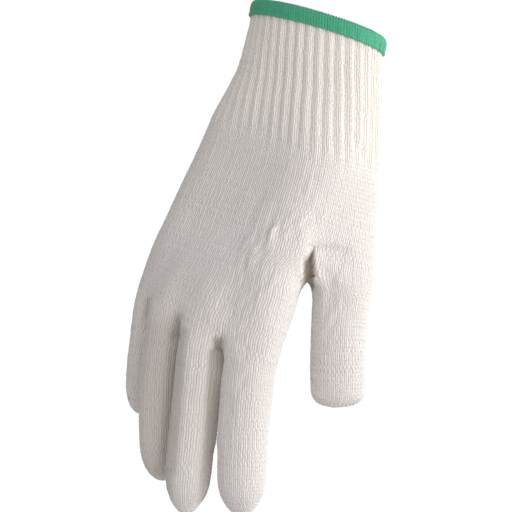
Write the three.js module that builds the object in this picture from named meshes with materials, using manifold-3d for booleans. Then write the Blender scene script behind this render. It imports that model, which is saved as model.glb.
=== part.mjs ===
// A cotton work glove for a right hand, knitted in one piece, with a ribbed cuff and an overlocked edge.
// It keeps the form that a hand gives it: fingers down, back of the hand towards -Y, thumb towards +X.
// Millimetres, +Z up. The origin is the centre of the opening that the wrist goes into.
//
// Such a glove is knitted as tubes that are joined stitch to stitch: four fingers, the palm beyond the
// fork of the thumb, the thumb, the palm before that fork, and the ribbed cuff. Each tube is a piece
// here, hollow all the way, and open where the next one joins it. The cloth lies tight round the hand,
// so a section of the palm is the outline of a band stretched round the rays of the hand inside it.
import * as THREE from 'three';
import { mergeVertices } from 'three/addons/utils/BufferGeometryUtils.js';
import Module from 'manifold-3d';

const wasm = await Module();
wasm.setup();

// The cloth and how its pieces meet
const CLOTH = 1.8; // thickness of the knitted wall
const SEAM_GAP = 0.3; // clearance between two pieces that are joined
const LEDGE = 0.4; // how far a closed end stands in round the way into the next piece

// The overlocked edge, a channel of thread that is wrapped over the end of the cuff
const EDGE_HEIGHT = 6.3;
const EDGE_THREAD = 1.1; // thickness of the thread on each side and over the top
const EDGE_ROUNDING = 0.8;
const EDGE_GAP = 0.4; // clearance round the cuff inside it

// The ribbed cuff
const CUFF_LENGTH = 58;
const WRIST_WIDTH = 68;
const WRIST_DEPTH = 53;
const FLARE_POWER = 1.8; // how late the cuff widens towards the palm
const RIB_COUNT = 38;
const RIB_HEIGHT = 1.2;
// The rings of the cuff, as shares of its length, and how much of the ribs' height stands out there
const CUFF_ROWS = [
  { along: 0, rib: 0 },
  { along: 0.12, rib: 0 },
  { along: 0.19, rib: 1 },
  { along: 0.55, rib: 1 },
  { along: 0.82, rib: 0.7 },
  { along: 1, rib: 0 },
];

// The palm
const LOWER_PALM_LENGTH = 57; // from the ribs to the fork of the thumb
const UPPER_PALM_LENGTH = 38; // from the fork of the thumb to the forks of the fingers
const HEEL_WIDTH = 83; // where the ribs end, without the ball of the thumb
const HEEL_DEPTH = 46;
const PALM_WIDTH = 84;
const PALM_DEPTH = 32;

// Each length of the glove leans from straight down by these angles, in degrees: towards the little
// finger, and backwards. Each ring of stitches where two lengths meet faces a way of its own.
const LEANS = {
  forearm: { ulnar: 6, back: 6 },
  wrist: { ulnar: 18, back: 9 },
  lowerPalm: { ulnar: 17.1, back: 21.8 },
  upperPalm: { ulnar: 20.2, back: 16.7 },
};
const RING_FACES = {
  wrist: { ulnar: 14.2, back: 12.1 },
  heel: { ulnar: 17.6, back: 5.7 },
  fork: { ulnar: 15.3, back: 14.8 },
  knuckles: { ulnar: 27.2, back: 15.6 },
};

// The rays of the hand inside, from the heel to the fork of the thumb. across is a share of the width
// there, through is a share of the depth there, from the middle, and size is the ray's diameter as a
// share of the depth.
const RAYS = {
  index: { heel: { across: 0.22, through: 0, size: 1 }, fork: { across: 0.29, through: 0, size: 1 } },
  middle: { heel: { across: 0.08, through: 0, size: 1 }, fork: { across: 0.1, through: 0, size: 1 } },
  ring: { heel: { across: -0.08, through: 0, size: 1 }, fork: { across: -0.1, through: 0, size: 1 } },
  little: { heel: { across: -0.22, through: 0, size: 1 }, fork: { across: -0.31, through: 0, size: 1 } },
};
const BALL_OF_THUMB = { across: 0.21, through: 0.29, size: 1 };
const THUMB_WEB = { across: 0.37, through: 0.15, size: 0.55 };
const WEB_LENGTH = 0.5; // how much of the upper palm the web of the thumb takes to die away in
const INDEX_HASTE = 0.7; // below 1, the index's side draws in quickly under that web

// The cloth sinks in between the thumb and the index finger, above the fork
const FORK_DENT = { depth: 7, reach: 12, above: 4 };

// The fingers. across and through place the root in the last ring of the palm, as shares of the palm's
// width and depth. The leans are in degrees from straight down, at the root and at the tip.
const FINGERS = {
  index: { length: 73, width: 24.2, depth: 23, across: 0.4, through: 0.08, ulnar: [6, 1], back: [6, -1.5] },
  middle: { length: 86.5, width: 22.5, depth: 22, across: 0.09, through: -0.16, ulnar: [6, 3], back: [7, 2] },
  ring: { length: 81, width: 22, depth: 21.5, across: -0.19, through: -0.1, ulnar: [10, -3], back: [11, -4] },
  little: { length: 57, width: 19.5, depth: 19, across: -0.44, through: 0.15, ulnar: [6, 3], back: [7, 4] },
};
const THUMB = {
  length: 55,
  width: 26.5,
  depth: 27,
  across: 0.54,
  through: 0.85,
  ulnar: [4, -1],
  back: [4, -1],
};
// How wide a finger or the thumb is on its way to the tip, as a share of its named width
const DIGIT_ROWS = [
  { along: 0, size: 1.06 },
  { along: 0.12, size: 1.04 },
  { along: 0.25, size: 1.01 },
  { along: 0.4, size: 0.98 },
  { along: 0.58, size: 0.97 },
  { along: 0.8, size: 0.98 },
  { along: 1, size: 0.96 },
];
const ROOT_SIZE = DIGIT_ROWS[0].size;
const FINGER_TIP = 16; // length of a finger's rounded end
const THUMB_TIP = 9;
const FINGER_TIP_POWER = 2; // 2 is a round end, and more is a squarer one
const THUMB_TIP_POWER = 2.5;

// How many straight steps stand for each curve
const RING_SIDES = 40;
const FINGER_SIDES = 16;
const STEPS_PER_RIB = 4;
const OUTLINE_STEPS = 36;
const PALM_STEPS = 5;
const TIP_STEPS = 4;

const THUMBWARDS = new THREE.Vector3(1, 0, 0);
const mix = THREE.MathUtils.lerp;
const radians = THREE.MathUtils.degToRad;

// The unit vector that leans from straight down by these angles.
function heading(ulnar, back) {
  return new THREE.Vector3(-Math.tan(radians(ulnar)), -Math.tan(radians(back)), -1).normalize();
}

// The frame of a section: its centre, the way down the glove, and the two directions in its plane.
function frameAt(centre, down) {
  const across = THUMBWARDS.clone().addScaledVector(down, -THUMBWARDS.dot(down)).normalize();
  return { centre, down, across, through: across.clone().cross(down) };
}

function moved(frame, distance) {
  return { ...frame, centre: frame.centre.clone().addScaledVector(frame.down, distance) };
}

function pointIn(frame, u, v) {
  return frame.centre.clone().addScaledVector(frame.across, u).addScaledVector(frame.through, v);
}

// Part of the way from one frame to the next.
function between(a, b, share) {
  const across = a.across.clone().lerp(b.across, share).normalize();
  const down = a.down.clone().lerp(b.down, share);
  down.addScaledVector(across, -down.dot(across)).normalize();
  const centre = a.centre.clone().lerp(b.centre, share);
  return { centre, down, across, through: across.clone().cross(down) };
}

// The convex outline round some ovals, each { u, v, a, b }, as evenly spaced points from the little
// finger's side over the back of the hand. inset makes it smaller all round.
function outlineRound(ovals, sides, inset = 0) {
  const points = ovals.flatMap(({ u, v, a, b }) =>
    Array.from({ length: OUTLINE_STEPS }, (_, i) => {
      const angle = (2 * Math.PI * i) / OUTLINE_STEPS;
      return [u + (a - inset) * Math.cos(angle), v + (b - inset) * Math.sin(angle)];
    }),
  );
  const hull = convexHull(points);
  const centreV = ovals.reduce((sum, oval) => sum + oval.v, 0) / ovals.length;
  return spacedEvenly(fromLeftEdge(hull, centreV), sides);
}

// Andrew's monotone chain, turning clockwise from the leftmost point over the negative side.
function convexHull(points) {
  const sorted = [...points].sort((p, q) => p[0] - q[0] || p[1] - q[1]);
  const turn = (o, p, q) => (p[0] - o[0]) * (q[1] - o[1]) - (p[1] - o[1]) * (q[0] - o[0]);
  const half = (list) => {
    const chain = [];
    for (const p of list) {
      while (chain.length > 1 && turn(chain.at(-2), chain.at(-1), p) <= 0) chain.pop();
      chain.push(p);
    }
    return chain.slice(0, -1);
  };
  return [...half(sorted), ...half(sorted.reverse())];
}

// The closed outline again, but starting where it crosses the level v on its left side.
function fromLeftEdge(hull, v) {
  const count = hull.length;
  for (let i = 0; i < count; i++) {
    const p = hull[i];
    const q = hull[(i + 1) % count];
    if (p[1] > v && q[1] <= v) {
      const share = (p[1] - v) / (p[1] - q[1]);
      const rest = Array.from({ length: count }, (_, k) => hull[(i + 1 + k) % count]);
      return [[mix(p[0], q[0], share), v], ...rest];
    }
  }
  return hull;
}

function spacedEvenly(outline, sides) {
  const closed = [...outline, outline[0]];
  const reached = [0];
  for (let i = 1; i < closed.length; i++) {
    const step = Math.hypot(closed[i][0] - closed[i - 1][0], closed[i][1] - closed[i - 1][1]);
    reached.push(reached.at(-1) + step);
  }
  let k = 0;
  return Array.from({ length: sides }, (_, i) => {
    const at = (reached.at(-1) * i) / sides;
    while (reached[k + 1] < at) k++;
    const share = (at - reached[k]) / (reached[k + 1] - reached[k] || 1);
    return [mix(closed[k][0], closed[k + 1][0], share), mix(closed[k][1], closed[k + 1][1], share)];
  });
}

// A closed solid through rings of points, each ring with the same number of them. It is either closed by
// a face at each end, or it comes back round to its first ring.
function loft(rings, comesRound = false) {
  const sides = rings[0].length;
  const positions = rings.flat();
  const count = positions.length;
  const index = [];
  rings.slice(comesRound ? 0 : 1).forEach((_, r) => {
    for (let i = 0; i < sides; i++) {
      const a = r * sides + i;
      const b = r * sides + ((i + 1) % sides);
      const [c, d] = [(a + sides) % count, (b + sides) % count];
      index.push(a, c, b, b, c, d);
    }
  });
  const ends = comesRound ? [] : [[rings[0], 0, false], [rings.at(-1), count - sides, true]];
  for (const [ring, first, flip] of ends) {
    const middle = ring.reduce((sum, p) => sum.add(p), new THREE.Vector3()).divideScalar(sides);
    positions.push(middle);
    const hub = positions.length - 1;
    for (let i = 0; i < sides; i++) {
      const edge = [first + i, first + ((i + 1) % sides)];
      index.push(...(flip ? edge.reverse() : edge), hub);
    }
  }
  const flat = new Float32Array(positions.flatMap((p) => [p.x, p.y, p.z]));
  const geometry = new THREE.BufferGeometry().setAttribute('position', new THREE.BufferAttribute(flat, 3));
  const merged = mergeVertices(geometry.setIndex(index));
  const solid = new wasm.Manifold(
    new wasm.Mesh({
      numProp: 3,
      vertProperties: merged.attributes.position.array,
      triVerts: new Uint32Array(merged.index.array),
    }),
  );
  if (solid.volume() > 0) return solid;
  throw new Error('a loft is inside out');
}

// A loft through sections, each { frame, ovals }, made smaller all round by inset.
function solidThrough(sections, sides, inset = 0) {
  return loft(
    sections.map(({ frame, ovals }) =>
      outlineRound(ovals, sides, inset).map(([u, v]) => pointIn(frame, u, v)),
    ),
  );
}

// The same sections, with the first or last one pushed out along the glove, so that a cut goes through.
function extended(sections, before, after) {
  const first = sections[0];
  const last = sections.at(-1);
  const ahead = before ? [{ ...first, frame: moved(first.frame, -before) }] : [];
  const behind = after ? [{ ...last, frame: moved(last.frame, after) }] : [];
  return [...ahead, ...sections, ...behind];
}

// The section that lies some distance from one section towards another, measured square to the first.
function partWay(from, to, distance) {
  const apart = to.frame.centre.clone().sub(from.frame.centre).dot(from.frame.down);
  const share = Math.abs(distance / apart);
  return { frame: between(from.frame, to.frame, share), ovals: mixOvals(from.ovals, to.ovals, share) };
}

// The same sections, with each end cut back by a distance along the glove.
function trimmed(sections, before, after) {
  const first = partWay(sections[0], sections[1], before);
  const last = partWay(sections.at(-1), sections.at(-2), after);
  return [first, ...sections.slice(1, -1), last];
}

// The same sections, with one more before them that leads through a closed end and stands in a little.
function withWayIn(sections) {
  const { frame, ovals } = sections[0];
  const smaller = ovals.map(({ u, v, a, b }) => ({ u, v, a: a - LEDGE, b: b - LEDGE }));
  return [{ frame: moved(frame, -CLOTH - LEDGE), ovals: smaller }, ...sections];
}

// The line of the forearm and palm, and the frame of each ring where two tubes join.
const lengths = [CUFF_LENGTH / 2, CUFF_LENGTH / 2, LOWER_PALM_LENGTH, UPPER_PALM_LENGTH];
const centres = [new THREE.Vector3()];
Object.values(LEANS).forEach(({ ulnar, back }, i) => {
  centres.push(centres[i].clone().addScaledVector(heading(ulnar, back), lengths[i]));
});
const palmLine = new THREE.CatmullRomCurve3(centres);
const KNOT = { wrist: 0, heel: 2, fork: 3, knuckles: 4 };
const [wristFrame, heelFrame, forkFrame, knuckleFrame] = Object.entries(RING_FACES).map(
  ([name, { ulnar, back }]) => frameAt(centres[KNOT[name]], heading(ulnar, back)),
);

// The rings of one tube, between two knots of the smooth line through the centres.
const palmShares = Array.from({ length: PALM_STEPS + 1 }, (_, i) => i / PALM_STEPS);
function ringsBetween(from, to, knots, ovalsAt, shares = palmShares) {
  return shares.map((share) => {
    const centre = palmLine.getPoint(mix(...knots, share) / KNOT.knuckles);
    return { frame: { ...between(from, to, share), centre }, ovals: ovalsAt(share) };
  });
}

// The ovals of the hand inside the glove, at each ring.
const oval = (u, v, width, depth) => ({ u, v, a: width / 2, b: depth / 2 });
const mixOval = (p, q, share) => ({
  u: mix(p.u, q.u, share),
  v: mix(p.v, q.v, share),
  a: mix(p.a, q.a, share),
  b: mix(p.b, q.b, share),
});
const mixOvals = (from, to, share) => from.map((p, i) => mixOval(p, to[i], share));

function ray({ across, through, size }, width, depth) {
  return oval(across * width, through * depth, size * depth, size * depth);
}

function root({ across, through, width, depth }) {
  return oval(across * PALM_WIDTH, through * PALM_DEPTH, ROOT_SIZE * width, ROOT_SIZE * depth);
}

const thumbRoot = root(THUMB);
const fingerRoots = Object.values(FINGERS).map(root);
const wrist = oval(0, 0, WRIST_WIDTH, WRIST_DEPTH);
const heelRays = Object.values(RAYS).map(({ heel }) => ray(heel, HEEL_WIDTH, HEEL_DEPTH));
const forkRays = Object.values(RAYS).map(({ fork }) => ray(fork, PALM_WIDTH, PALM_DEPTH));
const ball = ray(BALL_OF_THUMB, HEEL_WIDTH, HEEL_DEPTH);
const web = ray(THUMB_WEB, PALM_WIDTH, PALM_DEPTH);

const heelOvals = [...heelRays, ball, heelRays[0]];
const wristOvals = heelOvals.map(() => wrist);
const forkOvals = [...forkRays, thumbRoot, web];

const cuffSections = ringsBetween(
  wristFrame,
  heelFrame,
  [KNOT.wrist, KNOT.heel],
  (share) => mixOvals(wristOvals, heelOvals, share ** FLARE_POWER),
  CUFF_ROWS.map(({ along }) => along),
);
const lowerPalmSections = ringsBetween(heelFrame, forkFrame, [KNOT.heel, KNOT.fork], (share) =>
  mixOvals(heelOvals, forkOvals, share),
);
const upperPalmSections = ringsBetween(forkFrame, knuckleFrame, [KNOT.fork, KNOT.knuckles], (share) => {
  const left = Math.max(0, 1 - share / WEB_LENGTH);
  const rays = mixOvals(forkRays, fingerRoots, share);
  rays[0] = mixOval(forkRays[0], fingerRoots[0], share ** INDEX_HASTE);
  return [...rays, mixOval(web, rays[0], 1 - left * left)];
});

// A finger or the thumb: rings from its root in the parent's end, down a gently curled line, to a
// rounded tip. shorter draws the tip in, for the hollow.
function digitSections(parent, start, { length, width, depth, ulnar, back }, tip, power, shorter = 0) {
  const straight = length - tip;
  const sections = [];
  const centre = pointIn(parent, start.u, start.v);
  const stops = DIGIT_ROWS.map(({ along, size }) => ({ at: along * straight, size }));
  for (let i = 1; i <= TIP_STEPS; i++) {
    const x = Math.sin((Math.PI / 2) * (i / (TIP_STEPS + 0.35)));
    stops.push({ at: straight + x * (tip - shorter), size: (1 - x ** power) ** (1 / power) });
  }
  let last = 0;
  for (const { at, size } of stops) {
    const share = at / length;
    const down = heading(mix(...ulnar, share), mix(...back, share));
    centre.addScaledVector(down, at - last);
    last = at;
    const own = frameAt(centre.clone(), down);
    const settle = Math.min(1, share / 0.2);
    const frame = { ...between(parent, own, settle), centre: centre.clone() };
    sections.push({ frame, ovals: [oval(0, 0, width * size, depth * size)], size });
  }
  return sections;
}

// The hollow of a digit: its walls are the cloth's thickness in, and so is its tip.
function digitHollow(parent, start, digit, tip, power) {
  const inner = digitSections(parent, start, digit, tip, power, CLOTH);
  const rings = inner.map(({ frame, ovals: [{ a, b }], size }) => ({
    frame,
    ovals: [{ u: 0, v: 0, a: a - CLOTH * size, b: b - CLOTH * size }],
  }));
  return solidThrough(withWayIn(rings), FINGER_SIDES);
}

const PALM_COTTON = { color: 0xe6e0d6, roughness: 0.95, metalness: 0 };
const RIB_COTTON = { color: 0xe8e1d5, roughness: 0.95, metalness: 0 };
const EDGE_THREAD_GREEN = { color: 0x3fa27a, roughness: 0.8, metalness: 0 };

// The dent lies where a band round the web and the thumb's root would run straight between them, and it
// pushes the cloth square to that band, in the plane of the fork's ring.
function forkDent() {
  const towards = new THREE.Vector2(thumbRoot.u - web.u, thumbRoot.v - web.v).normalize();
  const outwards = new THREE.Vector2(towards.y, -towards.x);
  const stand = (web.a + thumbRoot.a) / 2;
  const u = (web.u + thumbRoot.u) / 2 + outwards.x * stand;
  const v = (web.v + thumbRoot.v) / 2 + outwards.y * stand;
  const push = pointIn(forkFrame, -outwards.x, -outwards.y).sub(forkFrame.centre);
  return { centre: pointIn(moved(forkFrame, -FORK_DENT.above), u, v), push };
}

const dent = forkDent();
function sunk(point) {
  const near = Math.exp(-((point.distanceTo(dent.centre) / FORK_DENT.reach) ** 2));
  return point.addScaledVector(dent.push, FORK_DENT.depth * near);
}

// A named mesh, which turns about the centre of the ring that it starts from.
function meshOf(name, solid, look, { centre }) {
  const { vertProperties, triVerts } = solid.getMesh();
  const positions = new THREE.BufferAttribute(new Float32Array(vertProperties), 3);
  const point = new THREE.Vector3();
  for (let i = 0; i < positions.count; i++) {
    sunk(point.fromBufferAttribute(positions, i));
    positions.setXYZ(i, point.x, point.y, point.z);
  }
  const geometry = new THREE.BufferGeometry()
    .setAttribute('position', positions)
    .setIndex(new THREE.BufferAttribute(new Uint32Array(triVerts), 1));
  geometry.translate(-centre.x, -centre.y, -centre.z);
  geometry.computeVertexNormals();
  const mesh = new THREE.Mesh(geometry, new THREE.MeshStandardMaterial(look));
  mesh.name = name;
  mesh.position.copy(centre);
  return mesh;
}

// The overlocked edge: a channel, open downwards, that the end of the cuff stands in. Each point of its
// profile is a distance down from the end of the cuff and a distance outwards from the cuff's outside.
function overlockedEdge() {
  const outside = EDGE_GAP + EDGE_THREAD;
  const inside = -CLOTH - outside;
  const rounded = EDGE_HEIGHT - EDGE_ROUNDING;
  const profile = [
    [0, outside - EDGE_ROUNDING],
    [EDGE_ROUNDING, outside],
    [rounded, outside],
    [EDGE_HEIGHT, outside - EDGE_ROUNDING],
    [EDGE_HEIGHT, EDGE_GAP],
    [EDGE_THREAD, EDGE_GAP],
    [EDGE_THREAD, -CLOTH - EDGE_GAP],
    [EDGE_HEIGHT, -CLOTH - EDGE_GAP],
    [EDGE_HEIGHT, inside + EDGE_ROUNDING],
    [rounded, inside],
    [EDGE_ROUNDING, inside],
    [0, inside + EDGE_ROUNDING],
  ];
  const rings = profile.map(([level, outwards]) => {
    const { frame, ovals } = partWay(cuffSections[0], cuffSections[1], level);
    return outlineRound(ovals, RING_SIDES, -outwards).map(([u, v]) => pointIn(frame, u, v));
  });
  return loft(rings, true);
}

// The cuff, with its ribs standing out of the outside only.
function ribbedCuff() {
  const sides = RIB_COUNT * STEPS_PER_RIB;
  const sections = trimmed(cuffSections, EDGE_THREAD + SEAM_GAP, SEAM_GAP / 2);
  const rings = sections.map(({ frame, ovals }, row) => {
    const base = outlineRound(ovals, sides);
    return base.map(([u, v], i) => {
      const [pu, pv] = base[(i + sides - 1) % sides];
      const [nu, nv] = base[(i + 1) % sides];
      const outwards = new THREE.Vector2(nv - pv, pu - nu).normalize();
      const wave = Math.cos((2 * Math.PI * i) / STEPS_PER_RIB) / 2;
      const out = RIB_HEIGHT * wave * CUFF_ROWS[row].rib;
      return pointIn(frame, u + outwards.x * out, v + outwards.y * out);
    });
  });
  return loft(rings).subtract(solidThrough(extended(cuffSections, CLOTH, CLOTH), RING_SIDES, CLOTH));
}

// A length of the palm: its outside, less a hollow that stops short of its closed end.
function closedTube(sections) {
  const outside = solidThrough(trimmed(sections, SEAM_GAP / 2, SEAM_GAP / 2), RING_SIDES);
  const inside = solidThrough(extended(trimmed(sections, 0, CLOTH), CLOTH, 0), RING_SIDES, CLOTH);
  return outside.subtract(inside);
}

const built = new THREE.Group();
built.add(meshOf('overlock_edge', overlockedEdge(), EDGE_THREAD_GREEN, wristFrame));
built.add(meshOf('rib_cuff', ribbedCuff(), RIB_COTTON, wristFrame));

// The palm below the fork of the thumb. Its end is closed by cloth, apart from the two ways on.
const thumbHollow = digitHollow(forkFrame, thumbRoot, THUMB, THUMB_TIP, THUMB_TIP_POWER);
const wayOn = withWayIn(extended(upperPalmSections.slice(0, 1), 0, CLOTH));
const upperWay = solidThrough(wayOn, RING_SIDES, CLOTH);
const lowerPalm = closedTube(lowerPalmSections).subtract(thumbHollow).subtract(upperWay);
built.add(meshOf('lower_palm', lowerPalm, PALM_COTTON, heelFrame));

// The palm above the fork, closed between the fingers, and the fingers themselves.
let upperPalm = closedTube(upperPalmSections);
Object.entries(FINGERS).forEach(([name, finger], i) => {
  const start = fingerRoots[i];
  const hollow = digitHollow(knuckleFrame, start, finger, FINGER_TIP, FINGER_TIP_POWER);
  upperPalm = upperPalm.subtract(hollow);
  const outer = solidThrough(
    digitSections(moved(knuckleFrame, SEAM_GAP / 2), start, finger, FINGER_TIP, FINGER_TIP_POWER),
    FINGER_SIDES,
  );
  built.add(meshOf(`${name}_finger`, outer.subtract(hollow), PALM_COTTON, knuckleFrame));
});
built.add(meshOf('upper_palm', upperPalm, PALM_COTTON, forkFrame));

const thumbStart = moved(forkFrame, SEAM_GAP / 2);
const thumbOuter = solidThrough(
  digitSections(thumbStart, thumbRoot, THUMB, THUMB_TIP, THUMB_TIP_POWER),
  FINGER_SIDES,
);
built.add(meshOf('thumb', thumbOuter.subtract(thumbHollow), PALM_COTTON, forkFrame));

export default built;
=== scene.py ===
"""The looks of a knitted cotton work glove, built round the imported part.

The hand of the glove is one knitted piece. Its mesh is a net with one column for each wale (a lengthwise
line of stitches) and one row for two courses (rounds of stitches). The net takes its shape from the CAD
tubes, branches where the thumb and fingers leave the palm, and is then divided until every stitch has
its own V of yarn. Lengths in the tables are in millimetres and angles in degrees.
"""

import math

import bpy
import numpy as np
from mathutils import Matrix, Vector
from mathutils.bvhtree import BVHTree


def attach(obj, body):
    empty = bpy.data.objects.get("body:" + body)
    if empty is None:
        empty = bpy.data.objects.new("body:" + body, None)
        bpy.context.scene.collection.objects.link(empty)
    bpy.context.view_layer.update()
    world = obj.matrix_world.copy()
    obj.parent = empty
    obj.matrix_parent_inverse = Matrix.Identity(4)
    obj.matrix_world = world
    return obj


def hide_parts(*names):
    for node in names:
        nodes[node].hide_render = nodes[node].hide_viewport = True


MM = 0.001


def table(columns, rows):
    """The rows of a table as dictionaries, by the names of its columns."""
    return [dict(zip(columns.split(), row)) for row in rows]


# The lengths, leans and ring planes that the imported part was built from. A lean is an angle towards the
# little finger's side and one towards the back of the hand.
LENGTHS = [29.0, 29.0, 57.0, 38.0]
LEANS = [(6.0, 6.0), (18.0, 9.0), (17.1, 21.8), (20.2, 16.7)]
RING_FACES = {
    "wrist": (14.2, 12.1),
    "heel": (17.6, 5.7),
    "fork": (15.3, 14.8),
    "knuckles": (27.2, 15.6),
}
RING_KNOTS = {"wrist": 0, "heel": 2, "fork": 3, "knuckles": 4}
PALM_WIDTH = 84.0
PALM_DEPTH = 32.0

# The digits, from the little finger to the thumb. across and through place the root's centre, as shares of
# the palm's width and depth, and ulnar and back are the leans at the root and at the end. over and side are
# the wales over the back and along one side, so a digit has twice both in all. slim is the share by which
# the cloth narrows at the end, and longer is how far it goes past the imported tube.
DIGITS = {
    row["name"]: row
    for row in table(
        "name across through length ulnar back over side slim longer",
        [
            ("little", -0.44, 0.15, 57.0, (6, 3), (7, 4), 8, 6, 0.0, 2.6),
            ("ring", -0.19, -0.1, 81.0, (10, -3), (11, -4), 10, 6, 0.08, 1.6),
            ("middle", 0.09, -0.16, 86.5, (6, 3), (7, 2), 10, 6, 0.2, 0.3),
            ("index", 0.4, 0.08, 73.0, (6, 1), (6, -1.5), 11, 6, 0.14, 0.0),
            ("thumb", 0.54, 0.85, 55.0, (4, -1), (4, -1), 12, 8, 0.0, 0.0),
        ],
    )
}
FINGER_NAMES = ["little", "ring", "middle", "index"]
PARTS = ["cuff", "palm", *FINGER_NAMES, "thumb"]
TIP_LENGTH = {"finger": 16.0, "thumb": 9.0}

# The net of stitches: its wales round the four-finger palm and round the rest of the palm and the cuff
PALM_WALES = 2 * (sum(DIGITS[name]["over"] for name in FINGER_NAMES) + DIGITS["index"]["side"])
GLOVE_WALES = PALM_WALES + 2 * DIGITS["thumb"]["over"]
COURSES_PER_ROW = 2
ROW_LENGTH = 4.0
CUFF_ROWS = 14
UPPER_PALM_ROWS = 10
CUFF_START = 1.6  # how far below the edge's top the cuff ends inside it
CUFF_TWIST = 0.022  # the share of a turn by which the ribs run round towards the thumb, down to the heel
DIVISIONS = 2  # how often each cell is divided in four

# The camera stands level with the glove, 35 degrees round towards the thumb
AIM = np.array([-23.7, -16.6, -110.0]) * MM
AZIMUTH = math.radians(35)
RIGHT = np.array([math.cos(AZIMUTH), math.sin(AZIMUTH), 0.0])
AWAY = np.array([-math.sin(AZIMUTH), math.cos(AZIMUTH), 0.0])
UP = np.array([0.0, 0.0, 1.0])
CAMERA_DISTANCE = 1.0
LENS = 149.6
SENSOR = 36
FRAME = 512  # the width and height of the photo's frame, in pixels


def heading(ulnar, back):
    """The unit vector that leans from straight down by these angles."""
    way = np.array([-math.tan(math.radians(ulnar)), -math.tan(math.radians(back)), -1.0])
    return way / np.linalg.norm(way)


class Section:
    """A plane across the glove: its centre, the way down the glove, and two directions in the plane."""

    def __init__(self, centre, down):
        self.centre = np.asarray(centre, float)
        self.down = down / np.linalg.norm(down)
        across = np.array([1.0, 0.0, 0.0]) - self.down * self.down[0]
        self.across = across / np.linalg.norm(across)
        self.through = np.cross(self.across, self.down)

    def moved(self, distance):
        return Section(self.centre + self.down * distance, self.down)

    def point(self, u, v):
        return self.centre + self.across * u + self.through * v

    def angle_of(self, point):
        """The angle of a point seen from the centre, from the little finger's side over the back."""
        away = point - self.centre
        return math.atan2(-away @ self.through, -away @ self.across)


def between(a, b, share, centre):
    return Section(centre, a.down * (1 - share) + b.down * share)


def palm_centres():
    centres = [np.zeros(3)]
    for length, lean in zip(LENGTHS, LEANS):
        centres.append(centres[-1] + heading(*lean) * length)
    return np.array(centres)


def smooth_line(points, at):
    """A smooth curve through points, at a place counted in points."""
    i = min(int(at), len(points) - 2)
    t = at - i
    before = points[i - 1] if i > 0 else 2 * points[0] - points[1]
    after = points[i + 2] if i + 2 < len(points) else 2 * points[-1] - points[-2]
    start, end = points[i], points[i + 1]
    slope_in, slope_out = (end - before) / 2, (after - start) / 2
    return (
        start * (2 * t**3 - 3 * t**2 + 1)
        + slope_in * (t**3 - 2 * t**2 + t)
        + end * (3 * t**2 - 2 * t**3)
        + slope_out * (t**3 - t**2)
    )


def tree_of(node):
    """A search tree of a CAD node, in millimetres."""
    mesh = node.data
    points = [v.co * (1 / MM) for v in mesh.vertices]
    return BVHTree.FromPolygons(points, [tuple(p.vertices) for p in mesh.polygons])


OUTLINE_RAYS = 240
FAR = 150.0  # how far out the rays start that find an outline
SHARE_STEPS = 2000


def outline(tree, section, harmonics):
    """The outer outline of a CAD tube in a section, smoothed, as a ring of points.

    It starts on the little finger's side and goes over the back of the hand."""
    radii = np.full(OUTLINE_RAYS, np.nan)
    turns = 2 * math.pi * np.arange(OUTLINE_RAYS) / OUTLINE_RAYS
    ways = -np.cos(turns)[:, None] * section.across - np.sin(turns)[:, None] * section.through
    for i, way in enumerate(ways):
        hit = tree.ray_cast(Vector(section.centre + way * FAR), Vector(-way), FAR)
        if hit[0] is not None:
            radii[i] = FAR - hit[3]
    known = ~np.isnan(radii)
    if not known.all():
        radii = np.interp(turns, turns[known], radii[known], period=2 * math.pi)
    spectrum = np.fft.rfft(radii)
    spectrum[harmonics + 1 :] = 0
    radii = np.fft.irfft(spectrum, OUTLINE_RAYS)
    return section.centre + ways * radii[:, None]


def on_outline(ring, shares):
    """Points at shares of the length round a closed ring."""
    closed = np.vstack([ring, ring[:1]])
    reach = np.concatenate([[0], np.cumsum(np.linalg.norm(np.diff(closed, axis=0), axis=1))])
    at = np.mod(shares, 1.0) * reach[-1]
    return np.stack([np.interp(at, reach, closed[:, k]) for k in range(3)], axis=1)


def share_near(ring, point):
    """The share of the length round a ring at which it comes nearest to a point."""
    shares = np.arange(SHARE_STEPS) / SHARE_STEPS
    distances = np.linalg.norm(on_outline(ring, shares) - point, axis=1)
    return shares[np.argmin(distances)]


def shares_through(anchors, count):
    """Even shares between anchors, each (column, share), going once round."""
    columns = [c for c, _ in anchors]
    shares = [anchors[0][1]]
    for _, share in anchors[1:]:
        while share < shares[-1]:
            share += 1
        shares.append(share)
    columns.append(columns[0] + count)
    shares.append(shares[0] + 1)
    wanted = np.arange(count)
    wanted = np.where(wanted < columns[0], wanted + count, wanted)
    return np.interp(wanted, columns, shares)


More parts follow.
